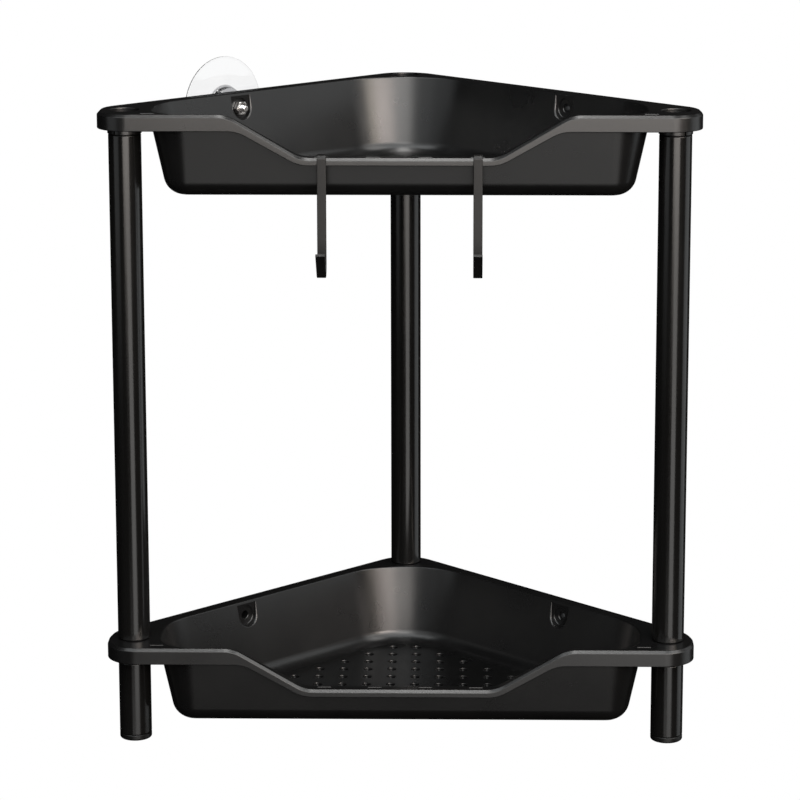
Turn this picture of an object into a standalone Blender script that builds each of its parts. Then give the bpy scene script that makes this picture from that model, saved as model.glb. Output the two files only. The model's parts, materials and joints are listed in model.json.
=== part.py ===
"""Two-tier corner shower caddy: two moulded trays on three poles, two lift-out hooks, one suction cup.

The caddy stands on z = 0 with its straight front along X and its right-angled corner at +Y.
The parent empty carries plan coordinates whose y = 0 is the line through the two front poles.
"""

import math

import bmesh
import bpy
from mathutils import Matrix, Vector

MM = 0.001
GAP = 0.3 * MM

# Heights of the top faces of the two trays, and where the poles stand in plan.
UPPER_RIM_Z = 357.9 * MM
LOWER_RIM_Z = 58.6 * MM
POLE_HALF_SPACING = 150.0 * MM
REAR_POLE_Y = 155.3 * MM

# Poles, joiners, plugs and feet.
POLE_R = 9.0 * MM
POLE_BORE_R = 8.0 * MM
SPIGOT_R = 7.7 * MM
SPIGOT_REACH = 25.0 * MM
JOINER_BORE_R = 5.0 * MM
PLUG_RECESS = 2.4 * MM
PLUG_REACH = 22.0 * MM
PLUG_WALL = 1.8 * MM
FOOT_HEIGHT = 3.2 * MM
FOOT_SPIGOT = 14.0 * MM
EDGE_ROUND = 1.0 * MM
FINE_EDGE = 0.5 * MM

# Rim of a tray in plan: straight front, short sides, 45 degree back edges.
RIM_FRONT = 22.54 * MM
RIM_SIDE = 164.7 * MM
RIM_APEX_Y = 174.8 * MM
RIM_CORNER_R = 21.0 * MM
RIM_APEX_R = 21.5 * MM
RIM_BEVEL = 1.35 * MM
SKIRT_DEPTH = 9.1 * MM
SKIRT_WALL = 2.2 * MM
PLATE = 2.2 * MM
FRONT_RECESS = 0.2 * MM

# Basin of a tray: its inner outline at rim height, its draft and its depth.
BASIN_FRONT = 19.6 * MM
BASIN_SIDE = 135.0 * MM
BASIN_APEX_Y = 162.8 * MM
BASIN_FRONT_R = 20.0 * MM
BASIN_SIDE_R = 40.0 * MM
BASIN_APEX_R = 48.0 * MM
BASIN_EDGE = 0.8 * MM
BASIN_DEPTH = 46.4 * MM
WALL = 2.0 * MM
DRAFT = math.radians(12.3)
FLOOR_FILLET = 11.0 * MM

# The lowered middle of the front: depths of its top and bottom edges, and where its slopes lie.
DIP_TOP = 23.3 * MM
DIP_BOTTOM = 27.55 * MM
DIP_TOP_SLOPE = (53.3 * MM, 92.9 * MM)
DIP_BOTTOM_SLOPE = (54.2 * MM, 87.2 * MM)
DIP_BLEND_R = 20.0 * MM
DIP_STATIONS = (47.0 * MM, 100.0 * MM, 11)

# Pole bosses, drain holes, hook slots and suction-cup pockets.
BOSS_R = 9.4 * MM
BOSS_DEPTH = 13.1 * MM
POLE_HOLE_R = 8.2 * MM
BOSS_SLOT_WIDTH = 1.1 * MM
BOSS_SLOT_TURN = math.radians(30)
DRAIN_PITCH = 14.1 * MM
DRAIN_R = 2.9 * MM
DRAIN_REAR_Y = 121.9 * MM
DRAIN_ROWS = 9
DRAIN_WIDEST = 8
SLOT_LENGTH = 7.6 * MM
SLOT_WIDTH = 2.7 * MM
SLOT_Y = -17.7 * MM
SLOT_PITCH = 28.2 * MM
CORNER_SLOT_X = 136.0 * MM
CORNER_SLOT_Y = -15.8 * MM
POCKET_ALONG = 15.2 * MM
POCKET_DEPTH = 8.8 * MM
POCKET_R = 7.3 * MM
POCKET_BACK = 115.2 * MM
POCKET_TOP = 1.7 * MM
PAD_WALL = 1.6 * MM
PAD_PROUD = 0.3 * MM
COUNTERBORE_R = 5.4 * MM
COUNTERBORE_DEPTH = 0.8 * MM
STUD_HOLE_R = 2.4 * MM

# Suction cup, its stud and its nut; lengths along the stud are counted outwards from the skirt.
CUP_R = 28.4 * MM
CUP_LIP = 1.6 * MM
CUP_DEPTH = 6.8 * MM
CUP_EDGE = 0.6 * MM
HUB_R = 10.6 * MM
HUB_END = 3.9 * MM
HUB_CHAMFER = 0.7 * MM
STUD_R = 2.0 * MM
STUD_HEAD_R = 4.1 * MM
STUD_HEAD = (2.4 * MM, 4.0 * MM)
STUD_INNER_END = 14.0 * MM
NUT_ACROSS_FLATS = 7.0 * MM
NUT_THICKNESS = 3.0 * MM
NUT_CHAMFER = 0.5 * MM

# Hooks: a flat strip bent over the front edge.
HOOK_WIDTH = 5.0 * MM
HOOK_THICKNESS = 1.5 * MM
HOOK_X = {"left": -41.7 * MM, "right": 42.6 * MM}
HOOK_CLEAR = 0.35 * MM
HOOK_BEND_R = 1.5 * MM
HOOK_TAIL = 8.5 * MM
HOOK_BOTTOM_Z = 270.5 * MM
HOOK_CURL_R = 5.5 * MM
HOOK_CURL_TURN = math.radians(135)
HOOK_TIP_LENGTH = 18.4 * MM

# Numbers of sides of round shapes, and steps of a tray's quarter-round corner.
POLE_SIDES = 24
HOLE_SIDES = 24
DRAIN_SIDES = 6
SMALL_SIDES = 12
CUP_SIDES = 36
CORNER_STEPS = 6
FILLET_STEPS = 4

ROOT2 = math.sqrt(2)
RIM_BACK = RIM_APEX_Y / ROOT2
BASIN_BACK = BASIN_APEX_Y / ROOT2
HOOK_FRONT_Y = -RIM_FRONT - HOOK_CLEAR - HOOK_THICKNESS / 2
HOOK_CURL_Y = HOOK_FRONT_Y - HOOK_CURL_R
HOOK_TIP_Y = HOOK_CURL_Y - (HOOK_CURL_R + HOOK_TIP_LENGTH + HOOK_THICKNESS / 2) / ROOT2
RIM_BACK_Y = RIM_APEX_Y - (ROOT2 - 1) * RIM_APEX_R
CENTRE_Y = (RIM_BACK_Y + HOOK_TIP_Y) / 2

POLES = {
    "left": (-POLE_HALF_SPACING, 0.0),
    "right": (POLE_HALF_SPACING, 0.0),
    "rear": (0.0, REAR_POLE_Y),
}


def clear_scene():
    for obj in list(bpy.data.objects):
        bpy.data.objects.remove(obj, do_unlink=True)


def material(name, colour, roughness, metallic=0.0, alpha=1.0):
    mat = bpy.data.materials.new(name)
    mat.use_nodes = True
    shader = mat.node_tree.nodes["Principled BSDF"]
    shader.inputs["Base Color"].default_value = (*colour, 1.0)
    shader.inputs["Roughness"].default_value = roughness
    shader.inputs["Metallic"].default_value = metallic
    shader.inputs["Alpha"].default_value = alpha
    mat.diffuse_color = (*colour, alpha)
    return mat


def place(name, bm, mat, parent, location=(0, 0, 0), rotation=None):
    """Makes an object of the bmesh, faces outwards, round stretches shaded smooth."""
    bmesh.ops.recalc_face_normals(bm, faces=bm.faces)
    mesh = bpy.data.meshes.new(name)
    bm.to_mesh(mesh)
    bm.free()
    return place_mesh(name, mesh, mat, parent, location, rotation)


def place_mesh(name, mesh, mat, parent, location=(0, 0, 0), rotation=None):
    mesh.shade_smooth()
    mesh.set_sharp_from_angle(angle=math.radians(35))
    if mat is not None and not mesh.materials:
        mesh.materials.append(mat)
    obj = bpy.data.objects.new(name, mesh)
    bpy.context.scene.collection.objects.link(obj)
    obj.parent = parent
    matrix = rotation.to_4x4() if rotation else Matrix.Identity(4)
    matrix.translation = Vector(location)
    obj.matrix_local = matrix
    return obj


def hide_as_cutter(obj):
    obj.hide_render = True
    obj.display_type = "WIRE"


def loft(bm, rings):
    """Joins equal rings of points with quads and closes both ends."""
    rows = [[bm.verts.new(point) for point in ring] for ring in rings]
    for low, high in zip(rows, rows[1:]):
        for k in range(len(low)):
            n = (k + 1) % len(low)
            bm.faces.new((low[k], low[n], high[n], high[k]))
    bm.faces.new(reversed(rows[0]))
    bm.faces.new(rows[-1])


def lathe(bm, profile, sides, matrix=None):
    """Turns a closed (radius, z) profile about Z; points at radius 0 share one vertex."""
    matrix = matrix or Matrix.Identity(4)
    rows = []
    for radius, z in profile:
        if radius == 0:
            rows.append([bm.verts.new(matrix @ Vector((0, 0, z)))] * sides)
            continue
        angles = [math.tau * k / sides for k in range(sides)]
        ring = [Vector((radius * math.cos(a), radius * math.sin(a), z)) for a in angles]
        rows.append([bm.verts.new(matrix @ point) for point in ring])
    for low, high in zip(rows, rows[1:] + rows[:1]):
        for k in range(sides):
            n = (k + 1) % sides
            corners = list(dict.fromkeys((low[k], low[n], high[n], high[k])))
            if len(corners) > 2:
                bm.faces.new(corners)


def drum(bm, radius, low, high, sides, position, turn=0.0):
    """An upright cylinder whose two ends are single flat faces."""
    angles = [turn + math.tau * k / sides for k in range(sides)]
    circle = [Vector((*position, 0)) + radius * Vector((math.cos(a), math.sin(a), 0)) for a in angles]
    loft(bm, [[point + Vector((0, 0, z)) for point in circle] for z in (low, high)])


def prism(bm, outline, to_low, to_high):
    """Joins two copies of a flat outline, each placed by a function of its two coordinates."""
    loft(bm, [[to_low(*point) for point in outline], [to_high(*point) for point in outline]])


def arc(centre, radius, start, end, steps):
    """Points of an arc, angles in degrees, both ends included."""
    points = []
    for k in range(steps + 1):
        angle = math.radians(start + (end - start) * k / steps)
        points.append((centre[0] + radius * math.cos(angle), centre[1] + radius * math.sin(angle)))
    return points


def front_stations():
    start, end, steps = DIP_STATIONS
    right = [start + (end - start) * k / steps for k in range(steps + 1)]
    return [-x for x in reversed(right)] + right


def outline(front, side, back, radii, inset):
    """A five-sided outline with rounded corners, moved inwards by inset.

    Its points run from the left end of the front round through the right, the apex and the left.
    """
    front_r, side_r, apex_r = radii
    front_centre = (side - front_r, front_r - front)
    side_centre = (side - side_r, ROOT2 * (back - side_r) - side + side_r)
    apex_centre = (0.0, ROOT2 * (back - apex_r))
    right = arc(front_centre, front_r - inset, -90, 0, CORNER_STEPS)
    right += arc(side_centre, side_r - inset, 0, 45, CORNER_STEPS // 2)
    apex = arc(apex_centre, apex_r - inset, 45, 135, 2 * CORNER_STEPS)
    left = [(-x, y) for x, y in reversed(right)]
    return [(x, inset - front) for x in front_stations()] + right + apex + left


def rim_outline(inset):
    return outline(RIM_FRONT, RIM_SIDE, RIM_BACK, (RIM_CORNER_R, RIM_CORNER_R, RIM_APEX_R), inset)


def basin_outline(inset):
    radii = (BASIN_FRONT_R, BASIN_SIDE_R, BASIN_APEX_R)
    return outline(BASIN_FRONT, BASIN_SIDE, BASIN_BACK, radii, inset)


def slope_profile(x, slope, low_depth, high_depth):
    """Depth of an edge of the lowered front at distance x from the middle, corners rounded."""
    low, high = slope
    angle = math.atan((low_depth - high_depth) / (high - low))
    tangent = DIP_BLEND_R * math.tan(angle / 2)
    x = abs(x)
    if x <= low - tangent:
        return low_depth
    if x < low + tangent * math.cos(angle):
        return low_depth - DIP_BLEND_R + math.sqrt(DIP_BLEND_R**2 - (x - low + tangent) ** 2)
    if x < high - tangent * math.cos(angle):
        return low_depth - (x - low) * math.tan(angle)
    if x < high + tangent:
        return high_depth + DIP_BLEND_R - math.sqrt(DIP_BLEND_R**2 - (high + tangent - x) ** 2)
    return high_depth


def edge_depths():
    """For each outline point: depth of the top face, of the skirt's bottom, of the plate's underside."""
    count = len(rim_outline(0))
    fronts = len(front_stations())
    corner = CORNER_STEPS + 1
    depths = []
    for k in range(count):
        if k < fronts:
            x = front_stations()[k]
            top = slope_profile(x, DIP_TOP_SLOPE, DIP_TOP, 0.0)
            bottom = slope_profile(x, DIP_BOTTOM_SLOPE, DIP_BOTTOM, SKIRT_DEPTH)
            low_recess = DIP_BOTTOM - DIP_TOP - PLATE
            recess = FRONT_RECESS + (low_recess - FRONT_RECESS) * top / DIP_TOP
        else:
            top = 0.0
            bottom = SKIRT_DEPTH
            steps = min(k - fronts, count - 1 - k, corner)
            recess = FRONT_RECESS + (SKIRT_DEPTH - PLATE - FRONT_RECESS) * steps / corner
        depths.append((top, bottom, bottom - recess))
    return depths


def tray_rings():
    """Rings of the tray's skin, from the middle of the underside round the rim to the basin's floor."""
    depths = edge_depths()
    slant = math.tan(DRAFT)
    outer_shift = WALL / math.cos(DRAFT)
    fillet_depth = BASIN_DEPTH - FLOOR_FILLET
    fillet_inset = slant * fillet_depth - outer_shift + FLOOR_FILLET / math.cos(DRAFT)

    def ring(outline_at, inset, depth):
        """Each of inset and depth is a number, or a function of the point's three depths."""
        points = []
        for k, edge in enumerate(depths):
            t = inset(*edge) if callable(inset) else inset
            d = depth(*edge) if callable(depth) else depth
            x, y = outline_at(t)[k]
            points.append(Vector((x, y, -d)))
        return points

    def fillet(radius, angles):
        rings = []
        for angle in angles:
            inset = fillet_inset - radius * math.cos(angle)
            rings.append(ring(basin_outline, inset, fillet_depth + radius * math.sin(angle)))
        return rings

    arc_span = DRAFT - math.pi / 2
    turn = [math.pi / 2 + arc_span * k / FILLET_STEPS for k in range(FILLET_STEPS + 1)]
    rings = fillet(FLOOR_FILLET, turn)
    rings.append(
        ring(basin_outline, lambda t, b, u: slant * u - outer_shift, lambda t, b, u: u)
    )
    rings.append(ring(rim_outline, SKIRT_WALL, lambda t, b, u: u))
    rings.append(ring(rim_outline, SKIRT_WALL, lambda t, b, u: b))
    rings.append(ring(rim_outline, 0.0, lambda t, b, u: b))
    rings.append(ring(rim_outline, 0.0, lambda t, b, u: t + RIM_BEVEL))
    rings.append(ring(rim_outline, RIM_BEVEL, lambda t, b, u: t))
    rings.append(ring(basin_outline, lambda t, b, u: slant * t - BASIN_EDGE, lambda t, b, u: t))
    rings.append(
        ring(
            basin_outline,
            lambda t, b, u: slant * (t + BASIN_EDGE),
            lambda t, b, u: t + BASIN_EDGE,
        )
    )
    rings += fillet(FLOOR_FILLET - WALL, reversed(turn))
    return rings


def wall_frame(side):
    """Unit vectors of the back wall on one side: outwards, and along it towards the apex."""
    outwards = Vector((side, 1, 0)).normalized()
    along = Vector((-side, 1, 0)).normalized()
    return outwards, along


def stud_axis(side, rim_z=0.0):
    """Matrix whose Z runs outwards along a pocket's axis, from the plane through the origin."""
    outwards, along = wall_frame(side)
    start = -along * POCKET_ALONG + Vector((0, 0, rim_z - POCKET_DEPTH))
    matrix = Matrix((along, Vector((0, 0, 1)), outwards)).transposed().to_4x4()
    matrix.translation = start
    return matrix


def pocket_outline(radius, top):
    """A round-bottomed upright outline about a pocket's axis, its top that far above the axis."""
    return arc((0, 0), radius, -180, 0, 10) + [(radius, top), (-radius, top)]


def add_pad(bm, side):
    """The block between the basin's wall and the skirt that a suction cup is fastened through."""
    matrix = stud_axis(side)
    middle = BASIN_BACK + WALL / 2

    def at_wall(u, v):
        return matrix @ Vector((u, v, middle - math.tan(DRAFT) * (POCKET_DEPTH - v)))

    def at_skirt(u, v):
        return matrix @ Vector((u, v, RIM_BACK + PAD_PROUD))

    top = POCKET_DEPTH - PLATE / 2
    prism(bm, pocket_outline(POCKET_R + PAD_WALL, top), at_wall, at_skirt)


def add_pocket(bm, side):
    """The recess in the basin's wall, its counterbore and the hole for the stud, as one cutter."""
    matrix = stud_axis(side)
    inside = POCKET_BACK - 3 * POCKET_R
    prism(
        bm,
        pocket_outline(POCKET_R, POCKET_DEPTH - POCKET_TOP),
        lambda u, v: matrix @ Vector((u, v, inside)),
        lambda u, v: matrix @ Vector((u, v, POCKET_BACK)),
    )


def add_stud_hole(bm, side):
    matrix = stud_axis(side)
    floor = POCKET_BACK + COUNTERBORE_DEPTH
    profile = [
        (0, POCKET_BACK - FINE_EDGE),
        (COUNTERBORE_R, POCKET_BACK - FINE_EDGE),
        (COUNTERBORE_R, floor),
        (STUD_HOLE_R, floor),
        (STUD_HOLE_R, RIM_BACK + 2 * EDGE_ROUND),
        (0, RIM_BACK + 2 * EDGE_ROUND),
    ]
    lathe(bm, profile, SMALL_SIDES, matrix)


def add_box(bm, centre, size, turn=0.0):
    matrix = Matrix.Translation(centre) @ Matrix.Rotation(turn, 4, "Z")
    matrix = matrix @ Matrix.Diagonal((*size, 1.0))
    bmesh.ops.create_cube(bm, size=1.0, matrix=matrix)


def add_slot(bm, x, y, top, bottom):
    """Cutter for a slot through the front rail between the two depths."""
    height = bottom - top + 4 * EDGE_ROUND
    add_box(bm, (x, y, -(top + bottom) / 2), (SLOT_LENGTH, SLOT_WIDTH, height))


def drain_centres():
    for row in range(DRAIN_ROWS):
        half = min(row + 1, DRAIN_WIDEST)
        for k in range(-half, half):
            yield (k + 0.5) * DRAIN_PITCH, DRAIN_REAR_Y - row * DRAIN_PITCH


def front_slots():
    return [(k + 0.5) * SLOT_PITCH for k in range(-2, 2)]


def tray_additions():
    bosses = bmesh.new()
    for position in POLES.values():
        drum(bosses, BOSS_R, -BOSS_DEPTH, -PLATE / 2, HOLE_SIDES, position)
    for side in (-1, 1):
        add_pad(bosses, side)
    return bosses


def tray_cuts():
    """Cutters that don't touch one another, grouped so that each Boolean takes simple bodies."""
    above = 2 * EDGE_ROUND
    pockets = bmesh.new()
    studs = bmesh.new()
    for side in (-1, 1):
        add_pocket(pockets, side)
        add_stud_hole(studs, side)
    holes = bmesh.new()
    for position in POLES.values():
        turn = math.pi / HOLE_SIDES
        drum(holes, POLE_HOLE_R, -BOSS_DEPTH - above, above, HOLE_SIDES, position, turn)
    for x in front_slots():
        add_slot(holes, x, SLOT_Y, DIP_TOP, DIP_BOTTOM)
    for side in (-1, 1):
        add_slot(holes, side * CORNER_SLOT_X, CORNER_SLOT_Y, 0.0, SKIRT_DEPTH)
    drains = bmesh.new()
    for position in drain_centres():
        low = -BASIN_DEPTH - WALL
        drum(drains, DRAIN_R, low, low + 3 * WALL, DRAIN_SIDES, position, math.pi / DRAIN_SIDES)
    slits = bmesh.new()
    visible = BOSS_DEPTH - SKIRT_DEPTH
    for x, y in POLES.values():
        turn = math.copysign(BOSS_SLOT_TURN, x)
        size = (BOSS_SLOT_WIDTH, 3 * BOSS_R, 2 * visible)
        add_box(slits, (x, y, -BOSS_DEPTH), size, turn)
    return {"pockets": pockets, "studs": studs, "holes": holes, "drains": drains, "slits": slits}


def tray_mesh(mat, parent):
    """One tray, rim top at z = 0, with its Booleans applied so that both tiers can share it."""
    body = bmesh.new()
    loft(body, tray_rings())
    tray = place("tray_blank", body, mat, parent)
    helpers = [(place("tray_bosses", tray_additions(), None, parent), "UNION")]
    for name, cutter in tray_cuts().items():
        helpers.append((place("tray_" + name, cutter, None, parent), "DIFFERENCE"))
    for helper, operation in helpers:
        hide_as_cutter(helper)
        modifier = tray.modifiers.new(helper.name, "BOOLEAN")
        modifier.operation = operation
        modifier.solver = "EXACT"
        modifier.object = helper
    bpy.context.view_layer.update()
    graph = bpy.context.evaluated_depsgraph_get()
    mesh = bpy.data.meshes.new_from_object(tray.evaluated_get(graph))
    mesh.name = "tray"
    for obj in [tray] + [helper for helper, _ in helpers]:
        bpy.data.objects.remove(obj, do_unlink=True)
    return mesh


def tube_profile(outer, inner, low, high, edge):
    return [
        (inner, low),
        (outer - edge, low),
        (outer, low + edge),
        (outer, high - edge),
        (outer - edge, high),
        (inner, high),
    ]


def add_tube(name, outer, inner, low, high, position, mat, parent):
    bm = bmesh.new()
    lathe(bm, tube_profile(outer, inner, 0, high - low, FINE_EDGE), POLE_SIDES)
    return place(name, bm, mat, parent, (*position, low))


def add_top_plug(name, position, mat, parent):
    """A hollow plug pressed into the top of a pole through the tray, with a dished head."""
    bm = bmesh.new()
    head = -PLUG_RECESS
    foot = -BOSS_DEPTH - PLUG_REACH
    inner = SPIGOT_R - PLUG_WALL
    profile = [
        (0, head - PLUG_WALL),
        (inner - PLUG_WALL, head - PLUG_WALL),
        (inner - PLUG_WALL, head),
        (SPIGOT_R - FINE_EDGE, head),
        (SPIGOT_R, head - FINE_EDGE),
        (SPIGOT_R, foot + FINE_EDGE),
        (SPIGOT_R - FINE_EDGE, foot),
        (inner, foot),
        (inner, head - 2 * PLUG_WALL),
        (0, head - 2 * PLUG_WALL),
    ]
    lathe(bm, profile, POLE_SIDES)
    return place(name, bm, mat, parent, (*position, UPPER_RIM_Z))


def add_foot(name, position, mat, parent):
    bm = bmesh.new()
    curve = arc((POLE_R - EDGE_ROUND, EDGE_ROUND), EDGE_ROUND, -90, 0, 3)
    spigot_top = FOOT_HEIGHT + FOOT_SPIGOT
    profile = [(0, 0)] + curve + [
        (POLE_R, FOOT_HEIGHT),
        (SPIGOT_R, FOOT_HEIGHT),
        (SPIGOT_R, spigot_top - FINE_EDGE),
        (SPIGOT_R - FINE_EDGE, spigot_top),
        (0, spigot_top),
    ]
    lathe(bm, profile, POLE_SIDES)
    return place(name, bm, mat, parent, (*position, 0))


def hook_path():
    """Middle line of a hook in (y, z), from its tail in the slot to its tip."""
    top_z = UPPER_RIM_Z - DIP_TOP + HOOK_CLEAR + HOOK_THICKNESS / 2
    bend_z = top_z - HOOK_BEND_R
    tail = (SLOT_Y, top_z - HOOK_TAIL)
    inner_bend = arc((SLOT_Y - HOOK_BEND_R, bend_z), HOOK_BEND_R, 0, 90, 4)
    outer_bend = arc((HOOK_FRONT_Y + HOOK_BEND_R, bend_z), HOOK_BEND_R, 90, 180, 4)
    curl_z = HOOK_BOTTOM_Z + HOOK_THICKNESS / 2 + HOOK_CURL_R
    curl = arc((HOOK_CURL_Y, curl_z), HOOK_CURL_R, 0, -math.degrees(HOOK_CURL_TURN), 9)
    rise = HOOK_TIP_LENGTH / ROOT2
    tip = (curl[-1][0] - rise, curl[-1][1] + rise)
    return [tail] + inner_bend + outer_bend + curl + [tip]


def add_hook(name, x, mat, parent):
    path = [Vector(point) for point in hook_path()]
    origin = Vector((0, HOOK_FRONT_Y, UPPER_RIM_Z - DIP_TOP))
    half_width = HOOK_WIDTH / 2
    rings = []
    for k, point in enumerate(path):
        before = (point - path[k - 1]).normalized() if k else None
        after = (path[k + 1] - point).normalized() if k + 1 < len(path) else None
        before = before or after
        after = after or before
        direction = (before + after).normalized()
        across = Vector((-direction.y, direction.x)) * (HOOK_THICKNESS / 2 / direction.dot(after))
        a, b = point + across, point - across
        corners = [(-half_width, *a), (half_width, *a), (half_width, *b), (-half_width, *b)]
        rings.append([Vector(corner) - origin for corner in corners])
    bm = bmesh.new()
    loft(bm, rings)
    return place(name, bm, mat, parent, (x, origin.y, origin.z))


def add_cup(mat, parent, axis, rotation):
    """The clear cup: a hub with a pocket for the stud's head, and a thin dish."""
    head_low = STUD_HEAD[0] - GAP
    head_high = STUD_HEAD[1] + GAP
    start = PAD_PROUD + GAP
    profile = [
        (STUD_HOLE_R, start),
        (HUB_R - HUB_CHAMFER, start),
        (HUB_R, start + HUB_CHAMFER),
        (HUB_R, HUB_END),
        (CUP_R * 0.6, CUP_DEPTH * 0.62),
        (CUP_R * 0.85, CUP_DEPTH * 0.78),
        (CUP_R, CUP_DEPTH - CUP_EDGE),
        (CUP_R, CUP_DEPTH),
        (CUP_R - CUP_LIP, CUP_DEPTH),
        (CUP_R * 0.72, CUP_DEPTH * 0.88),
        (CUP_R * 0.35, CUP_DEPTH * 0.82),
        (0, CUP_DEPTH * 0.82),
        (0, head_high),
        (STUD_HEAD_R + GAP, head_high),
        (STUD_HEAD_R + GAP, head_low),
        (STUD_HOLE_R, head_low),
    ]
    bm = bmesh.new()
    lathe(bm, profile, CUP_SIDES)
    return place("suction_cup", bm, mat, parent, axis @ Vector((0, 0, RIM_BACK)), rotation)


def add_stud(mat, parent, axis, rotation):
    bm = bmesh.new()
    tip = -STUD_INNER_END
    profile = [
        (0, tip),
        (STUD_R * 0.6, tip),
        (STUD_R, tip + STUD_R * 0.6),
        (STUD_R, STUD_HEAD[0]),
        (STUD_HEAD_R, STUD_HEAD[0]),
        (STUD_HEAD_R, STUD_HEAD[1]),
        (0, STUD_HEAD[1]),
    ]
    lathe(bm, profile, SMALL_SIDES)
    return place("suction_stud", bm, mat, parent, axis @ Vector((0, 0, RIM_BACK)), rotation)


def add_nut(mat, parent, axis, rotation):
    corner_r = NUT_ACROSS_FLATS / math.sqrt(3)
    bore = (STUD_R + GAP) / math.cos(math.pi / 6)
    seat = POCKET_BACK + COUNTERBORE_DEPTH - GAP
    bm = bmesh.new()
    profile = [
        (bore, -NUT_THICKNESS),
        (corner_r - NUT_CHAMFER, -NUT_THICKNESS),
        (corner_r, NUT_CHAMFER - NUT_THICKNESS),
        (corner_r, 0),
        (bore, 0),
    ]
    lathe(bm, profile, 6)
    return place("suction_nut", bm, mat, parent, axis @ Vector((0, 0, seat)), rotation)


def build():
    clear_scene()
    plastic = material("black_plastic", (0.018, 0.018, 0.018), 0.38)
    steel = material("black_steel", (0.012, 0.012, 0.012), 0.3)
    hook_steel = material("hook_steel", (0.02, 0.02, 0.02), 0.35)
    cap_plastic = material("cap_plastic", (0.014, 0.014, 0.014), 0.45)
    clear = material("clear_pvc", (0.93, 0.94, 0.95), 0.08, alpha=0.25)
    bright = material("bright_steel", (0.75, 0.75, 0.76), 0.22, metallic=1.0)

    caddy = bpy.data.objects.new("caddy", None)
    bpy.context.scene.collection.objects.link(caddy)
    caddy.location = (0, -CENTRE_Y, 0)
    bpy.context.view_layer.update()

    mesh = tray_mesh(plastic, caddy)
    place_mesh("upper_tray", mesh, plastic, caddy, (0, 0, UPPER_RIM_Z))
    place_mesh("lower_tray", mesh, plastic, caddy, (0, 0, LOWER_RIM_Z))

    leg_top = LOWER_RIM_Z - BOSS_DEPTH - GAP
    pole_low = LOWER_RIM_Z + GAP
    pole_high = UPPER_RIM_Z - BOSS_DEPTH - GAP
    for side, position in POLES.items():
        leg_low = FOOT_HEIGHT + GAP
        add_tube("leg_pole_" + side, POLE_R, POLE_BORE_R, leg_low, leg_top, position, steel, caddy)
        add_tube("upper_pole_" + side, POLE_R, POLE_BORE_R, pole_low, pole_high, position, steel, caddy)
        low = leg_top - SPIGOT_REACH
        high = pole_low + SPIGOT_REACH
        add_tube("pole_joiner_" + side, SPIGOT_R, JOINER_BORE_R, low, high, position, cap_plastic, caddy)
        add_top_plug("top_plug_" + side, position, cap_plastic, caddy)
        add_foot("foot_cap_" + side, position, cap_plastic, caddy)

    for side, x in HOOK_X.items():
        add_hook("hook_" + side, x, hook_steel, caddy)

    axis = stud_axis(-1, UPPER_RIM_Z)
    rotation = axis.to_3x3()
    add_cup(clear, caddy, axis, rotation)
    add_stud(bright, caddy, axis, rotation)
    add_nut(bright, caddy, axis, rotation)


build()
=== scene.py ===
"""Looks of the corner shower caddy: satin black trays, black tubes, strip hooks, clear suction cup.

A tray is drawn in its own plan: x to the right, y backwards from the front poles, z = 0 at its
rim's top. Depths are counted downwards from there.
"""

import json
import math

import bmesh
import bpy
from mathutils import Matrix, Vector

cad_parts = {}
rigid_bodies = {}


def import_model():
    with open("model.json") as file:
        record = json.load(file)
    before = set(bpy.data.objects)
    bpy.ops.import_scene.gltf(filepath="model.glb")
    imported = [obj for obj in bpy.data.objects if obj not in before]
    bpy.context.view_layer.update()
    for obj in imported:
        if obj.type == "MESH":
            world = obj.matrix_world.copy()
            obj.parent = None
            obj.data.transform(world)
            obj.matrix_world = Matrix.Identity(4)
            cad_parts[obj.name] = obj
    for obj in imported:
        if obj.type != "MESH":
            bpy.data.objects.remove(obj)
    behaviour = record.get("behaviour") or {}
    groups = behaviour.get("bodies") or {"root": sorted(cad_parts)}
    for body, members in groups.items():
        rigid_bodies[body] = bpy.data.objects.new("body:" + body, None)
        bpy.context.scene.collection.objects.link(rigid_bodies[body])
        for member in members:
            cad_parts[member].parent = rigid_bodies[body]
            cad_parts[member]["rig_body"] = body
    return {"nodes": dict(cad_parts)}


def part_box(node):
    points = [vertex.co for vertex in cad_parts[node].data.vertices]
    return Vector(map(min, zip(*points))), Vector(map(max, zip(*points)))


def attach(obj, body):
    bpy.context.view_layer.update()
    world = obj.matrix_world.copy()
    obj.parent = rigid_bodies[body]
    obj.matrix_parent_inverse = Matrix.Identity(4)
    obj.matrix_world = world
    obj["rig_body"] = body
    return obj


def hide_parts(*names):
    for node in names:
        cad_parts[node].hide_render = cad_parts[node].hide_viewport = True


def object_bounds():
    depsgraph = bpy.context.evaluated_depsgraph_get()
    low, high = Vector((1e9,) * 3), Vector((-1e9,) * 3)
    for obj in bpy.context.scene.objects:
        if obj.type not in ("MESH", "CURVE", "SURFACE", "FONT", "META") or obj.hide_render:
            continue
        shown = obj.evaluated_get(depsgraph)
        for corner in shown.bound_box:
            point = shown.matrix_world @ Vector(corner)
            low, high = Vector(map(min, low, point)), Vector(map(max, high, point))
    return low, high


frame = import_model()
CAD_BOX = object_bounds()

MM = 0.001
ROOT2 = math.sqrt(2)

# Rim of a tray in plan: straight front, short sides, 45 degree back edges. RIM_FRONT lies in front
# of the poles' line, RIM_APEX_Y is where the back edges' lines would meet.
RIM_FRONT = 22.54 * MM
RIM_SIDE = 164.3 * MM
RIM_APEX_Y = 174.8 * MM
RIM_FRONT_R = 17.5 * MM
RIM_SIDE_R = 21.0 * MM
RIM_APEX_R = 21.5 * MM
RIM_CHAMFER = 1.5 * MM
RIM_EDGE = 0.5 * MM
SKIRT_DEPTH = 9.1 * MM
SKIRT_WALL = 2.2 * MM
SKIRT_ROUND = 0.45 * MM
PLATE = 2.2 * MM
# The front rail is solid but for this recess in its underside.
FRONT_RECESS = 0.2 * MM

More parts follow.
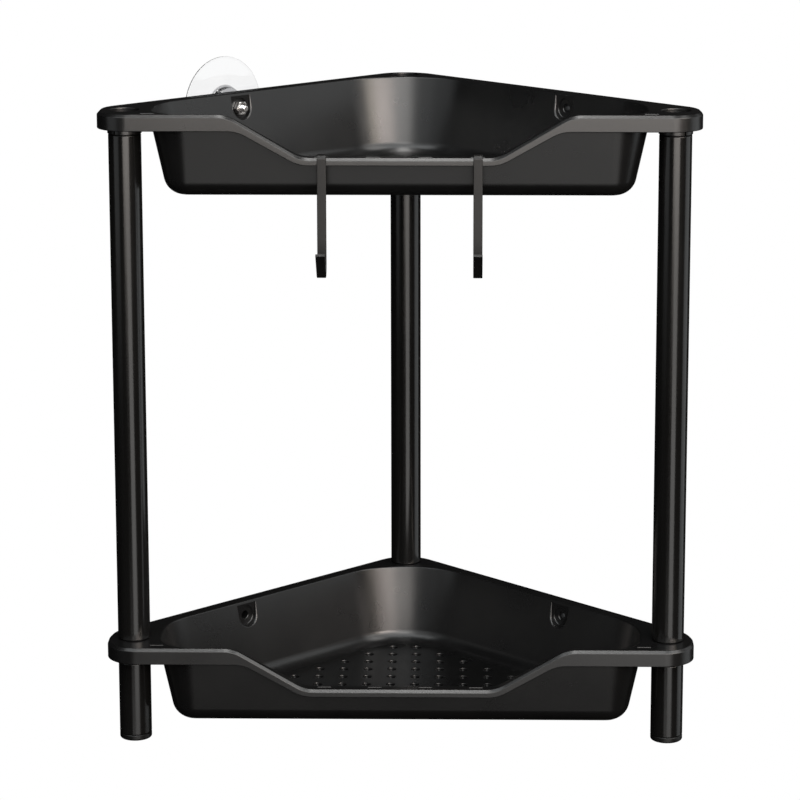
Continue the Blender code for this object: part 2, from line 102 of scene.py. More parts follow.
# Basin of a tray; BASIN_RADII are those of its front, side and apex corners.
BASIN_FRONT = 19.6 * MM
BASIN_SIDE = 135.0 * MM
BASIN_APEX_Y = 162.8 * MM
BASIN_RADII = (20.0 * MM, 40.0 * MM, 48.0 * MM)
BASIN_ROUND = 1.0 * MM
BASIN_DEPTH = 46.4 * MM
WALL = 2.0 * MM
DRAFT = math.radians(12.3)
FLOOR_FILLET = 11.0 * MM

# The lowered middle of the front rail; each slope runs between two distances from the middle.
DIP_TOP = 23.3 * MM
DIP_BOTTOM = 27.55 * MM
DIP_TOP_SLOPE = (53.3 * MM, 92.9 * MM)
DIP_BOTTOM_SLOPE = (54.2 * MM, 87.2 * MM)
DIP_BLEND_R = 20.0 * MM
DIP_SPAN = (46.8 * MM, 100.0 * MM)
DIP_STEPS = 28

# Bosses, drain holes, slots and cup pockets.
POLE_HALF_SPACING = 150.0 * MM
REAR_POLE_Y = 155.3 * MM
BOSS_R = 9.4 * MM
BOSS_DEPTH = 13.1 * MM
POLE_HOLE_R = 8.2 * MM
POLE_HOLE_ROUND = 0.6 * MM
BOSS_SLOT_WIDTH = 1.1 * MM
BOSS_SLOT_TURN = math.radians(30)
DRAIN_PITCH = 14.1 * MM
DRAIN_R = 2.6 * MM
DRAIN_ROUND = 0.65 * MM
DRAIN_REAR_Y = 121.9 * MM
DRAIN_ROWS = 9
DRAIN_WIDEST = 8
SLOT_LENGTH = 7.2 * MM
SLOT_WIDTH = 2.4 * MM
SLOT_ROUND = 0.55 * MM
SLOT_Y = -17.7 * MM
SLOT_PITCH = 28.2 * MM
CORNER_SLOT_X = 136.0 * MM
CORNER_SLOT_Y = -15.8 * MM
POCKET_ALONG = 15.2 * MM
POCKET_DEPTH = 8.8 * MM
POCKET_R = 7.3 * MM
POCKET_ROUND = 1.2 * MM
# The mouth's rounding starts this far inside the basin, so that the cut leaves no sliver.
POCKET_START = 0.02 * MM
POCKET_BACK = 115.2 * MM
POCKET_TOP = 1.7 * MM
PAD_WALL = 1.6 * MM
PAD_PROUD = 0.3 * MM
COUNTERBORE_R = 5.4 * MM
COUNTERBORE_DEPTH = 0.8 * MM
COUNTERBORE_ROUND = 0.3 * MM
STUD_HOLE_R = 2.4 * MM
# Cutters for through holes start this far outside the material.
CUTTER_EXTRA = 2.0 * MM

# Tubes, plugs and feet.
TUBE_WALL = 1.0 * MM
TUBE_LIP = 0.45 * MM
JOINER_BORE_R = 5.0 * MM
PLUG_WALL = 1.8 * MM
PLUG_LIP = 0.5 * MM
FOOT_HEIGHT = 3.2 * MM
FOOT_ROUND = 1.2 * MM
FOOT_BEVEL = 0.3 * MM
FOOT_GROOVE = 0.35 * MM
SPIGOT_TAPER = 0.6 * MM

# Cup, stud and nut. The cup's and the stud's lengths are counted outwards from the skirt's outer
# face, and STUD_INNER_END inwards from it.
CUP_R = 28.0 * MM
CUP_DEPTH = 6.8 * MM
CUP_LIP = 0.45 * MM
HUB_R = 10.6 * MM
HUB_END = 3.9 * MM
HUB_ROUND = 1.0 * MM
HUB_BLEND = 1.2 * MM
STUD_R = 2.0 * MM
STUD_HEAD_R = 4.1 * MM
STUD_HEAD = (2.4 * MM, 4.0 * MM)
STUD_INNER_END = 14.0 * MM
THREAD_PITCH = 0.7 * MM
THREAD_DEPTH = 0.22 * MM
THREAD_START = 0.9 * MM
THREAD_ROWS = 6
NUT_ACROSS_FLATS = 7.0 * MM
NUT_THICKNESS = 3.0 * MM
NUT_TURNING = math.radians(30)
NUT_TURNED_IN = 0.1 * MM
NUT_BORE_ROUND = 0.35 * MM
GAP = 0.3 * MM

# Hooks.
HOOK_WIDTH = 5.0 * MM
HOOK_THICKNESS = 1.5 * MM
HOOK_CLEAR = 0.35 * MM
HOOK_BEND_R = 1.7 * MM
HOOK_TAIL = 8.5 * MM
HOOK_CURL_R = 5.5 * MM
HOOK_CURL_TURN = 135
HOOK_TIP_LENGTH = 18.4 * MM
HOOK_EDGE = 0.35 * MM

# How finely round shapes are stepped.
CORNER_STEPS = 14
FILLET_STEPS = 10
EDGE_STEPS = 4
ROUND_SIDES = 96
HOLE_SIDES = 64
DRAIN_SIDES = 24
CUP_SIDES = 128
STUD_SIDES = 48
NUT_SIDES = 64
BORE_SIDES = 40
POCKET_STEPS = 28
BEND_STEPS = 8
CURL_STEPS = 24
SMOOTH_ANGLE = math.radians(32)

RIM_BACK = RIM_APEX_Y / ROOT2
BASIN_BACK = BASIN_APEX_Y / ROOT2
POLES = {
    "left": (-POLE_HALF_SPACING, 0.0),
    "right": (POLE_HALF_SPACING, 0.0),
    "rear": (0.0, REAR_POLE_Y),
}


# ---------------------------------------------------------------- mesh helpers


def finished_mesh(name, bm, smooth=True):
    """The bmesh as a mesh with its faces outwards."""
    bmesh.ops.recalc_face_normals(bm, faces=bm.faces)
    mesh = bpy.data.meshes.new(name)
    bm.to_mesh(mesh)
    bm.free()
    return shaded(mesh) if smooth else mesh


def shaded(mesh):
    """The mesh shaded smooth, except over edges sharper than SMOOTH_ANGLE."""
    mesh.shade_smooth()
    mesh.set_sharp_from_angle(angle=SMOOTH_ANGLE)
    return mesh


def new_object(name, mesh, matrix=None):
    """An object in the scene, at the origin unless a matrix is given."""
    obj = bpy.data.objects.new(name, mesh)
    bpy.context.scene.collection.objects.link(obj)
    obj.matrix_world = matrix or Matrix.Identity(4)
    return obj


def piece(name, mesh, matrix, node, material):
    """A visible piece that stands for one CAD node and moves with that node's body."""
    mesh.materials.clear()
    mesh.materials.append(material)
    obj = new_object(name, mesh, matrix)
    # Large faces keep a flat shade beside their rounded edges.
    weighted = obj.modifiers.new("flat_faces", "WEIGHTED_NORMAL")
    weighted.keep_sharp = True
    weighted.weight = 100
    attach(obj, frame["nodes"][node]["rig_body"])
    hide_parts(node)
    return obj


def carved(name, blank, steps):
    """The blank mesh after each (bmesh, operation) in turn is joined to it or cut from it."""
    obj = new_object(name, blank)
    helpers = []
    for bm, operation in steps:
        helper = new_object("helper", finished_mesh("helper", bm))
        helpers.append(helper)
        modifier = obj.modifiers.new("step", "BOOLEAN")
        modifier.operation = operation
        modifier.solver = "EXACT"
        modifier.object = helper
    bpy.context.view_layer.update()
    graph = bpy.context.evaluated_depsgraph_get()
    mesh = bpy.data.meshes.new_from_object(obj.evaluated_get(graph))
    for used in [obj] + helpers:
        bpy.data.objects.remove(used, do_unlink=True)
    return shaded(mesh)


def loft(bm, rings):
    """Joins equal rings of points with quads and closes both ends."""
    rows = [[bm.verts.new(point) for point in ring] for ring in rings]
    for low, high in zip(rows, rows[1:]):
        for k in range(len(low)):
            n = (k + 1) % len(low)
            bm.faces.new((low[k], low[n], high[n], high[k]))
    bm.faces.new(reversed(rows[0]))
    bm.faces.new(rows[-1])


def circle(radius, sides, turn=0.0):
    """Points (x, y) round a circle, the first one at the angle turn."""
    angles = [turn + math.tau * k / sides for k in range(sides)]
    return [(radius * math.cos(a), radius * math.sin(a)) for a in angles]


def ring_at(z, points, position=(0.0, 0.0)):
    """The flat points (x, y) as a ring at height z, moved by position."""
    x, y = position
    return [Vector((x + u, y + v, z)) for u, v in points]


def stack(bm, profile, sides, position=(0.0, 0.0), turn=0.0):
    """An upright solid of circles (radius, z), with a flat face at each end."""
    loft(bm, [ring_at(z, circle(radius, sides, turn), position) for radius, z in profile])


def lathe(bm, profile, sides):
    """Turns a closed (radius, z) profile about Z; a radius of 0 is one shared vertex."""
    rows = []
    for radius, z in profile:
        if radius == 0:
            rows.append([bm.verts.new((0, 0, z))] * sides)
        else:
            rows.append([bm.verts.new((x, y, z)) for x, y in circle(radius, sides)])
    for low, high in zip(rows, rows[1:] + rows[:1]):
        for k in range(sides):
            n = (k + 1) % sides
            corners = list(dict.fromkeys((low[k], low[n], high[n], high[k])))
            if len(corners) > 2:
                bm.faces.new(corners)


def flare(radius, edge, surface):
    """Profile of a cutter's rounded upper edge; it goes on a little above the surface."""
    return [
        (radius, surface - edge),
        (radius + 0.3 * edge, surface - 0.3 * edge),
        (radius + 1.3 * edge, surface + 0.14 * edge),
    ]


def chamfer(width, radius):
    """A 45 degree chamfer with both its edges rounded, as (inset, drop) from the outside upwards."""
    tangent = radius * math.tan(math.radians(22.5))
    lower = []
    for k in range(EDGE_STEPS):
        angle = math.radians(45 * k / (EDGE_STEPS - 1))
        lower.append((radius * (1 - math.cos(angle)), width + tangent - radius * math.sin(angle)))
    return lower + [(drop, inset) for inset, drop in reversed(lower)]


def arc(centre, radius, start, end, steps):
    """Points of an arc, angles in degrees, both ends included."""
    points = []
    for k in range(steps + 1):
        angle = math.radians(start + (end - start) * k / steps)
        points.append((centre[0] + radius * math.cos(angle), centre[1] + radius * math.sin(angle)))
    return points


# ---------------------------------------------------------------- tray


def front_stations():
    """Distances from the middle at which the front has points, from left to right."""
    start, end = DIP_SPAN
    right = [start + (end - start) * k / DIP_STEPS for k in range(DIP_STEPS + 1)]
    return [-x for x in reversed(right)] + right


def outline(front, side, back, radii, inset):
    """A five-sided outline with rounded corners, moved inwards by inset."""
    front_r, side_r, apex_r = radii
    front_centre = (side - front_r, front_r - front)
    side_centre = (side - side_r, ROOT2 * (back - side_r) - side + side_r)
    apex_centre = (0.0, ROOT2 * (back - apex_r))
    right = arc(front_centre, front_r - inset, -90, 0, CORNER_STEPS)
    right += arc(side_centre, side_r - inset, 0, 45, CORNER_STEPS // 2)
    apex = arc(apex_centre, apex_r - inset, 45, 135, 2 * CORNER_STEPS)
    left = [(-x, y) for x, y in reversed(right)]
    return [(x, inset - front) for x in front_stations()] + right + apex + left


def rim_outline(inset):
    return outline(RIM_FRONT, RIM_SIDE, RIM_BACK, (RIM_FRONT_R, RIM_SIDE_R, RIM_APEX_R), inset)


def basin_outline(inset):
    return outline(BASIN_FRONT, BASIN_SIDE, BASIN_BACK, BASIN_RADII, inset)


def slope_profile(x, slope, low_depth, high_depth):
    """Depth of an edge of the lowered front at distance x from the middle, corners rounded."""
    low, high = slope
    angle = math.atan((low_depth - high_depth) / (high - low))
    tangent = DIP_BLEND_R * math.tan(angle / 2)
    x = abs(x)
    if x <= low - tangent:
        return low_depth
    if x < low + tangent * math.cos(angle):
        return low_depth - DIP_BLEND_R + math.sqrt(DIP_BLEND_R**2 - (x - low + tangent) ** 2)
    if x < high - tangent * math.cos(angle):
        return low_depth - (x - low) * math.tan(angle)
    if x < high + tangent:
        return high_depth + DIP_BLEND_R - math.sqrt(DIP_BLEND_R**2 - (high + tangent - x) ** 2)
    return high_depth


def edge_depths():
    """For each outline point: depth of the top face, of the skirt's bottom, of the plate's underside.

    The front rail is nearly solid. Round the front corners its recess grows to the full skirt's.
    """
    count = len(rim_outline(0))
    stations = front_stations()
    corner = CORNER_STEPS + 1
    depths = []
    for k in range(count):
        if k < len(stations):
            top = slope_profile(stations[k], DIP_TOP_SLOPE, DIP_TOP, 0.0)
            bottom = slope_profile(stations[k], DIP_BOTTOM_SLOPE, DIP_BOTTOM, SKIRT_DEPTH)
            low_recess = DIP_BOTTOM - DIP_TOP - PLATE
            recess = FRONT_RECESS + (low_recess - FRONT_RECESS) * top / DIP_TOP
        else:
            top = 0.0
            bottom = SKIRT_DEPTH
            steps = min(k - len(stations), count - 1 - k, corner)
            recess = FRONT_RECESS + (SKIRT_DEPTH - PLATE - FRONT_RECESS) * steps / corner
        depths.append((top, bottom, bottom - recess))
    return depths


def tray_rings():
    """Rings of the tray's skin, from the middle of the underside round the rim to the basin's floor."""
    depths = edge_depths()
    slant = math.tan(DRAFT)
    outer_shift = WALL / math.cos(DRAFT)
    fillet_depth = BASIN_DEPTH - FLOOR_FILLET
    fillet_inset = slant * fillet_depth - outer_shift + FLOOR_FILLET / math.cos(DRAFT)

    def ring(outline_at, inset, depth):
        """Each of inset and depth is a number, or a function of the point's three depths."""
        points = []
        for k, edge in enumerate(depths):
            t = inset(*edge) if callable(inset) else inset
            d = depth(*edge) if callable(depth) else depth
            x, y = outline_at(t)[k]
            points.append(Vector((x, y, -d)))
        return points

    def fillet(radius, angles):
        rings = []
        for angle in angles:
            inset = fillet_inset - radius * math.cos(angle)
            rings.append(ring(basin_outline, inset, fillet_depth + radius * math.sin(angle)))
        return rings

    arc_span = DRAFT - math.pi / 2
    turn = [math.pi / 2 + arc_span * k / FILLET_STEPS for k in range(FILLET_STEPS + 1)]
    rings = fillet(FLOOR_FILLET, turn)
    rings.append(ring(basin_outline, lambda t, b, u: slant * u - outer_shift, lambda t, b, u: u))
    rings.append(ring(rim_outline, SKIRT_WALL, lambda t, b, u: u))
    rings.append(ring(rim_outline, SKIRT_WALL, lambda t, b, u: b))
    for k in range(EDGE_STEPS + 1):
        a = math.pi / 2 * k / EDGE_STEPS
        inset = SKIRT_ROUND * (1 - math.sin(a))
        rise = SKIRT_ROUND * (1 - math.cos(a))
        rings.append(ring(rim_outline, inset, lambda t, b, u, rise=rise: b - rise))
    for inset, drop in chamfer(RIM_CHAMFER, RIM_EDGE):
        rings.append(ring(rim_outline, inset, lambda t, b, u, drop=drop: t + drop))
    for k in range(EDGE_STEPS + 1):
        a = math.pi / 2 + arc_span * k / EDGE_STEPS
        back = BASIN_ROUND * (math.cos(a) - 1 / math.cos(DRAFT))
        drop = BASIN_ROUND * (1 - math.sin(a))
        rings.append(
            ring(
                basin_outline,
                lambda t, b, u, back=back: slant * (t + BASIN_ROUND) + back,
                lambda t, b, u, drop=drop: t + drop,
            )
        )
    rings += fillet(FLOOR_FILLET - WALL, reversed(turn))
    return rings


def stud_matrix(side, outwards=0.0):
    """Matrix whose Z runs outwards along a pocket's axis, X along the wall towards the apex."""
    out = Vector((side, 1, 0)).normalized()
    along = Vector((-side, 1, 0)).normalized()
    matrix = Matrix((along, Vector((0, 0, 1)), out)).transposed().to_4x4()
    matrix.translation = out * outwards - along * POCKET_ALONG - Vector((0, 0, POCKET_DEPTH))
    return matrix


def wall_offset(v):
    """How far outwards the basin's inner wall lies at height v above a pocket's axis."""
    return BASIN_BACK - math.tan(DRAFT) * (POCKET_DEPTH - v)


def pocket_outline(radius, top):
    """Half a circle with straight sides up to top: (along the wall, up), round the stud's axis."""
    return arc((0, 0), radius, -180, 0, POCKET_STEPS) + [(radius, top), (-radius, top)]


def add_pad(bm, side):
    """The block behind a pocket, from inside the basin's wall to just proud of the skirt."""
    matrix = stud_matrix(side)
    shape = pocket_outline(POCKET_R + PAD_WALL, POCKET_DEPTH - PLATE / 2)
    inner = [matrix @ Vector((u, v, wall_offset(v) + WALL / 2)) for u, v in shape]
    outer = [matrix @ Vector((u, v, RIM_BACK + PAD_PROUD)) for u, v in shape]
    loft(bm, [inner, outer])


def add_pocket(bm, side):
    """Cutter for the recess in the basin's wall, with its mouth's edge rounded."""
    matrix = stud_matrix(side)
    surface = pocket_outline(POCKET_R, POCKET_DEPTH - POCKET_TOP)

    def rounding(v):
        """The edge's radius at height v: smaller where the pocket has no room for the whole of it."""
        return min(POCKET_ROUND, 0.6 * (POCKET_BACK - wall_offset(v)))

    def ring(radius, depth):
        """The pocket's outline at the radius and depth that these functions of v give."""
        points = []
        for u, v in surface:
            low = min(v, 0.0)
            scale = radius(v) / math.hypot(u, low)
            points.append(matrix @ Vector((u * scale, low * scale + max(v, 0.0), depth(v))))
        return points

    rings = [ring(lambda v: POCKET_R, lambda v: wall_offset(v) - 2 * POCKET_R)]
    steps = 2 * EDGE_STEPS
    for k in range(steps + 1):
        a = math.pi / 2 * k / steps
        rings.append(
            ring(
                lambda v, a=a: POCKET_R - rounding(v) * math.sin(a),
                lambda v, a=a: wall_offset(v) - POCKET_START + rounding(v) * (1 - math.cos(a)),
            )
        )
    rings.append(ring(lambda v: POCKET_R - rounding(v), lambda v: POCKET_BACK))
    loft(bm, rings)


def add_stud_hole(bm, side):
    """Cutter for the counterbore and the stud's hole behind it."""
    matrix = stud_matrix(side)
    floor = POCKET_BACK + COUNTERBORE_DEPTH
    edge = COUNTERBORE_ROUND
    profile = [
        (COUNTERBORE_R + edge, POCKET_BACK - 4 * edge),
        (COUNTERBORE_R + edge, POCKET_BACK),
        (COUNTERBORE_R, POCKET_BACK + edge),
        (COUNTERBORE_R, floor),
        (STUD_HOLE_R + edge, floor),
        (STUD_HOLE_R, floor + edge),
        (STUD_HOLE_R, RIM_BACK + CUTTER_EXTRA),
    ]
    rings = []
    for radius, z in profile:
        rings.append([matrix @ point for point in ring_at(z, circle(radius, HOLE_SIDES // 2))])
    loft(bm, rings)


def add_slot(bm, x, y, top, bottom):
    """Cutter for a slot through the front rail, its upper edge slightly rounded."""
    rings = []
    for grow, z in [(0.0, -bottom - CUTTER_EXTRA)] + flare(0.0, SLOT_ROUND, -top):
        half_x = SLOT_LENGTH / 2 + grow
        half_y = SLOT_WIDTH / 2 + grow
        corners = ((-half_x, -half_y), (half_x, -half_y), (half_x, half_y), (-half_x, half_y))
        rings.append(ring_at(z, corners, (x, y)))
    loft(bm, rings)


def drain_centres():
    """Rows of holes that widen from the apex forwards, by one at each end."""
    for row in range(DRAIN_ROWS):
        half = min(row + 1, DRAIN_WIDEST)
        for k in range(-half, half):
            yield (k + 0.5) * DRAIN_PITCH, DRAIN_REAR_Y - row * DRAIN_PITCH


def tray_bosses():
    """Sleeves round the poles and pads behind the pockets."""
    bm = bmesh.new()
    for position in POLES.values():
        profile = [
            (BOSS_R - SKIRT_ROUND, -BOSS_DEPTH),
            (BOSS_R, SKIRT_ROUND - BOSS_DEPTH),
            (BOSS_R, -PLATE / 2),
        ]
        stack(bm, profile, HOLE_SIDES, position)
    for side in (-1, 1):
        add_pad(bm, side)
    return bm


def tray_cutters():
    """Pockets, stud holes, pole holes with slots, drain holes, and the slits across the sleeves."""
    pockets = bmesh.new()
    studs = bmesh.new()
    for side in (-1, 1):
        add_pocket(pockets, side)
        add_stud_hole(studs, side)
    holes = bmesh.new()
    for position in POLES.values():
        profile = [(POLE_HOLE_R, -BOSS_DEPTH - CUTTER_EXTRA)] + flare(POLE_HOLE_R, POLE_HOLE_ROUND, 0.0)
        stack(holes, profile, HOLE_SIDES, position, math.pi / HOLE_SIDES)
    for k in range(-2, 2):
        add_slot(holes, (k + 0.5) * SLOT_PITCH, SLOT_Y, DIP_TOP, DIP_BOTTOM)
    for side in (-1, 1):
        add_slot(holes, side * CORNER_SLOT_X, CORNER_SLOT_Y, 0.0, SKIRT_DEPTH)
    drains = bmesh.new()
    floor = WALL - BASIN_DEPTH
    for position in drain_centres():
        profile = [(DRAIN_R, -BASIN_DEPTH - CUTTER_EXTRA)] + flare(DRAIN_R, DRAIN_ROUND, floor)
        stack(drains, profile, DRAIN_SIDES, position, math.pi / DRAIN_SIDES)
    slits = bmesh.new()
    for x, y in POLES.values():
        turn = math.copysign(BOSS_SLOT_TURN, x)
        matrix = Matrix.Translation((x, y, -BOSS_DEPTH)) @ Matrix.Rotation(turn, 4, "Z")
        size = (BOSS_SLOT_WIDTH, 3 * BOSS_R, 2 * (BOSS_DEPTH - SKIRT_DEPTH), 1.0)
        bmesh.ops.create_cube(slits, size=1.0, matrix=matrix @ Matrix.Diagonal(size))
    return [pockets, studs, holes, drains, slits]


def tray_mesh():
    """One tray with its rim's top at z = 0, used by both tiers."""
    body = bmesh.new()
    loft(body, tray_rings())
    cuts = [(cutter, "DIFFERENCE") for cutter in tray_cutters()]
    return carved("tray_blank", finished_mesh("tray_blank", body), [(tray_bosses(), "UNION")] + cuts)


def make_trays(material):
    """The same moulding twice, each under its CAD tray's top."""
    mesh = tray_mesh()
    for node in ("upper_tray", "lower_tray"):
        low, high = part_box(node)
        place = Matrix.Translation((0, low.y + RIM_FRONT, high.z))
        piece(node + "_moulding", mesh, place, node, material)


# ---------------------------------------------------------------- tubes, plugs, feet


def middle(node):
    """A round node's axis (x, y), its bottom and top, and its radius."""
    low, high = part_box(node)
    return (low.x + high.x) / 2, (low.y + high.y) / 2, low.z, high.z, (high.x - low.x) / 2


def make_tube(node, bore, lip, material):
    """A straight tube with rounded lips, the size of its CAD node."""
    x, y, low, high, radius = middle(node)
    length = high - low
    profile = [(bore, 0.0)]
    profile += arc((radius - lip, lip), lip, -90, 0, EDGE_STEPS)
    profile += arc((radius - lip, length - lip), lip, 0, 90, EDGE_STEPS)
    profile.append((bore, length))
    bm = bmesh.new()
    lathe(bm, profile, ROUND_SIDES)
    place = Matrix.Translation((x, y, low))
    piece(node + "_tube", finished_mesh(node, bm), place, node, material)


def make_plug(side, material):
    """The hollow plug in a tube's top: a dished head with a rounded rim."""
    node = "top_plug_" + side
    x, y, low, high, radius = middle(node)
    inner = radius - PLUG_WALL
    dish = inner - PLUG_WALL
    length = high - low
    lip = PLUG_LIP
    profile = [(0.0, length - PLUG_WALL), (dish - lip, length - PLUG_WALL)]
    profile += arc((dish - lip, length - PLUG_WALL + lip), lip, -90, 0, EDGE_STEPS)
    profile += arc((dish + lip, length - lip), lip, 180, 90, EDGE_STEPS)
    profile += arc((radius - lip, length - lip), lip, 90, 0, EDGE_STEPS)
    profile += [(radius, lip), (radius - lip, 0.0), (inner, 0.0)]
    profile += [(inner, length - 2 * PLUG_WALL), (0.0, length - 2 * PLUG_WALL)]
    bm = bmesh.new()
    lathe(bm, profile, ROUND_SIDES)
    place = Matrix.Translation((x, y, low))
    piece(node + "_moulding", finished_mesh(node, bm), place, node, material)


def make_foot(side, material):
    """A cap with a grooved tread, a rounded edge, a bevel under the tube and a tapered spigot."""
    node = "foot_cap_" + side
    x, y, low, high, radius = middle(node)
    length = high - low
    spigot = radius - TUBE_WALL - GAP
    tread = [(0.0, 0.0), (0.62, 0.0), (0.66, FOOT_GROOVE), (0.74, FOOT_GROOVE), (0.78, 0.0)]
    profile = [(radius * share, z) for share, z in tread]
    profile += arc((radius - FOOT_ROUND, FOOT_ROUND), FOOT_ROUND, -90, 0, 2 * EDGE_STEPS)
    profile += [(radius, FOOT_HEIGHT - FOOT_BEVEL), (radius - FOOT_BEVEL, FOOT_HEIGHT)]
    profile += [(spigot, FOOT_HEIGHT), (spigot, length - SPIGOT_TAPER)]
    profile += [(spigot - SPIGOT_TAPER, length), (0.0, length)]
    bm = bmesh.new()
    lathe(bm, profile, ROUND_SIDES)
    place = Matrix.Translation((x, y, low))
    piece(node + "_moulding", finished_mesh(node, bm), place, node, material)


# ---------------------------------------------------------------- hooks


def hook_section():
    """Rounded rectangle across the strip: (along its width, across its thickness)."""
    half_w = HOOK_WIDTH / 2 - HOOK_EDGE
    half_t = HOOK_THICKNESS / 2 - HOOK_EDGE
    corners = ((half_w, half_t), (-half_w, half_t), (-half_w, -half_t), (half_w, -half_t))
    points = []
    for k, corner in enumerate(corners):
        points += arc(corner, HOOK_EDGE, 90 * k, 90 * k + 90, 3)
    return points


def hook_path(tail_y, top_z, front_y, bottom_z):
    """Middle line of a hook in (y, z), from its tail in the slot to its tip."""
    bend_z = top_z - HOOK_BEND_R
    inner_bend = arc((tail_y - HOOK_BEND_R, bend_z), HOOK_BEND_R, 0, 90, BEND_STEPS)
    outer_bend = arc((front_y + HOOK_BEND_R, bend_z), HOOK_BEND_R, 90, 180, BEND_STEPS)
    curl_centre = (front_y - HOOK_CURL_R, bottom_z + HOOK_THICKNESS / 2 + HOOK_CURL_R)
    curl = arc(curl_centre, HOOK_CURL_R, 0, -HOOK_CURL_TURN, CURL_STEPS)
    rise = HOOK_TIP_LENGTH / ROOT2
    tip = (curl[-1][0] - rise, curl[-1][1] + rise)
    return [(tail_y, top_z - HOOK_TAIL)] + inner_bend + outer_bend + curl + [tip]


def make_hook(side, plan_y, material):
    """The strip's section swept along its path, mitred at each point."""
    node = "hook_" + side
    low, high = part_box(node)
    front_y = plan_y - RIM_FRONT - HOOK_CLEAR - HOOK_THICKNESS / 2
    top_z = high.z - HOOK_THICKNESS / 2
    path = [Vector(p) for p in hook_path(plan_y + SLOT_Y, top_z, front_y, low.z)]
    section = hook_section()
    rings = []
    for k, point in enumerate(path):
        before = (point - path[k - 1]).normalized() if k else None
        after = (path[k + 1] - point).normalized() if k + 1 < len(path) else None
        before = before or after
        after = after or before
        direction = (before + after).normalized()
        across = Vector((-direction.y, direction.x)) / direction.dot(after)
        rings.append([(u, *(point + across * v)) for u, v in section])
    bm = bmesh.new()
    loft(bm, rings)
    place = Matrix.Translation(((low.x + high.x) / 2, 0, 0))
    piece(node + "_strip", finished_mesh(node, bm), place, node, material)


# ---------------------------------------------------------------- cup, stud, nut


def cup_profile():
    """Outline of half the cup's section: hub, back of the disc, lip, dish, and the room for the head."""
    start = PAD_PROUD + GAP
    lip = CUP_LIP
    outer = [(STUD_HOLE_R, start)]
    outer += arc((HUB_R - HUB_ROUND, start + HUB_ROUND), HUB_ROUND, -90, 0, 6)
    outer += arc((HUB_R + HUB_BLEND, HUB_END - 0.2 * MM), HUB_BLEND, 180, 110, 6)
    outer += [(CUP_R * 0.62, HUB_END + 1.2 * MM), (CUP_R * 0.8, HUB_END + 1.5 * MM)]
    outer += arc((CUP_R - lip, CUP_DEPTH - lip), lip, -60, 90, 8)
    dish = [(CUP_R - 1.7 * MM, CUP_DEPTH)]
    for share, hollow in ((0.8, 0.45), (0.62, 0.75), (0.35, 1.05), (0.0, 1.1)):
        dish.append((CUP_R * share, CUP_DEPTH - hollow * MM))
    head_low = STUD_HEAD[0] - GAP
    head_high = STUD_HEAD[1] + GAP
    head_r = STUD_HEAD_R + GAP
    head = [(0.0, head_high), (head_r, head_high), (head_r, head_low), (STUD_HOLE_R, head_low)]
    return outer + dish + head


def make_cup(matrix, material):
    """The cup, turned round its stud's axis."""
    bm = bmesh.new()
    lathe(bm, cup_profile(), CUP_SIDES)
    mesh = finished_mesh("suction_cup", bm)
    piece("suction_cup_vinyl", mesh, matrix, "suction_cup", material)


def make_stud(matrix, material):
    """The stud: a rounded end, a fine thread and a flat head inside the cup."""
    tip = -STUD_INNER_END
    rows = [ring_at(tip, [(0.55 * x, 0.55 * y) for x, y in circle(STUD_R, STUD_SIDES)])]
    for k in range(1, 5):
        a = math.pi / 2 * k / 4
        radius = STUD_R * (0.55 + 0.35 * math.sin(a))
        rows.append(ring_at(tip + 0.6 * MM * (1 - math.cos(a)), circle(radius, STUD_SIDES)))
    z = tip + THREAD_START
    while z < STUD_HEAD[0] - 0.5 * MM:
        ring = []
        for k in range(STUD_SIDES):
            angle = math.tau * k / STUD_SIDES
            phase = (z / THREAD_PITCH - k / STUD_SIDES) % 1.0
            radius = STUD_R - THREAD_DEPTH + THREAD_DEPTH * (1 - abs(2 * phase - 1))
            ring.append(Vector((radius * math.cos(angle), radius * math.sin(angle), z)))
        rows.append(ring)
        z += THREAD_PITCH / THREAD_ROWS
    low, high = STUD_HEAD
    for radius, height in ((STUD_R, low), (STUD_HEAD_R, low), (STUD_HEAD_R, high)):
        rows.append(ring_at(height, circle(radius, STUD_SIDES)))
    bm = bmesh.new()
    loft(bm, rows)
    mesh = finished_mesh("suction_stud", bm)
    piece("suction_stud_threaded", mesh, matrix, "suction_stud", material)


def make_nut(matrix, material):
    """A hexagon nut whose corners are turned off at both ends."""
    corner_r = NUT_ACROSS_FLATS / math.sqrt(3)
    flat_r = NUT_ACROSS_FLATS / 2
    bore = (STUD_R + GAP) / math.cos(math.pi / 6)
    hexagon = bmesh.new()
    loft(hexagon, [ring_at(z, circle(corner_r, 6)) for z in (-NUT_THICKNESS, 0.0)])
    turned = bmesh.new()
    slope = math.tan(NUT_TURNING)
    rise = (corner_r - flat_r) * slope
    over = 1.0 * MM
    end_r = flat_r - NUT_TURNED_IN - over / slope
    wide_r = corner_r + NUT_TURNED_IN
    profile = [(end_r, -NUT_THICKNESS - over), (wide_r, rise - NUT_THICKNESS)]
    profile += [(wide_r, -rise), (end_r, over)]
    stack(turned, profile, NUT_SIDES, turn=math.pi / NUT_SIDES)
    drill = bmesh.new()
    edge = NUT_BORE_ROUND
    mouth_r = bore + edge + over
    profile = [(mouth_r, -NUT_THICKNESS - over), (bore, edge - NUT_THICKNESS)]
    profile += [(bore, -edge), (mouth_r, over)]
    stack(drill, profile, BORE_SIDES)
    blank = finished_mesh("nut_blank", hexagon, smooth=False)
    mesh = carved("nut_blank", blank, [(turned, "INTERSECT"), (drill, "DIFFERENCE")])
    piece("suction_nut_hexagon", mesh, matrix, "suction_nut", material)


# ---------------------------------------------------------------- materials


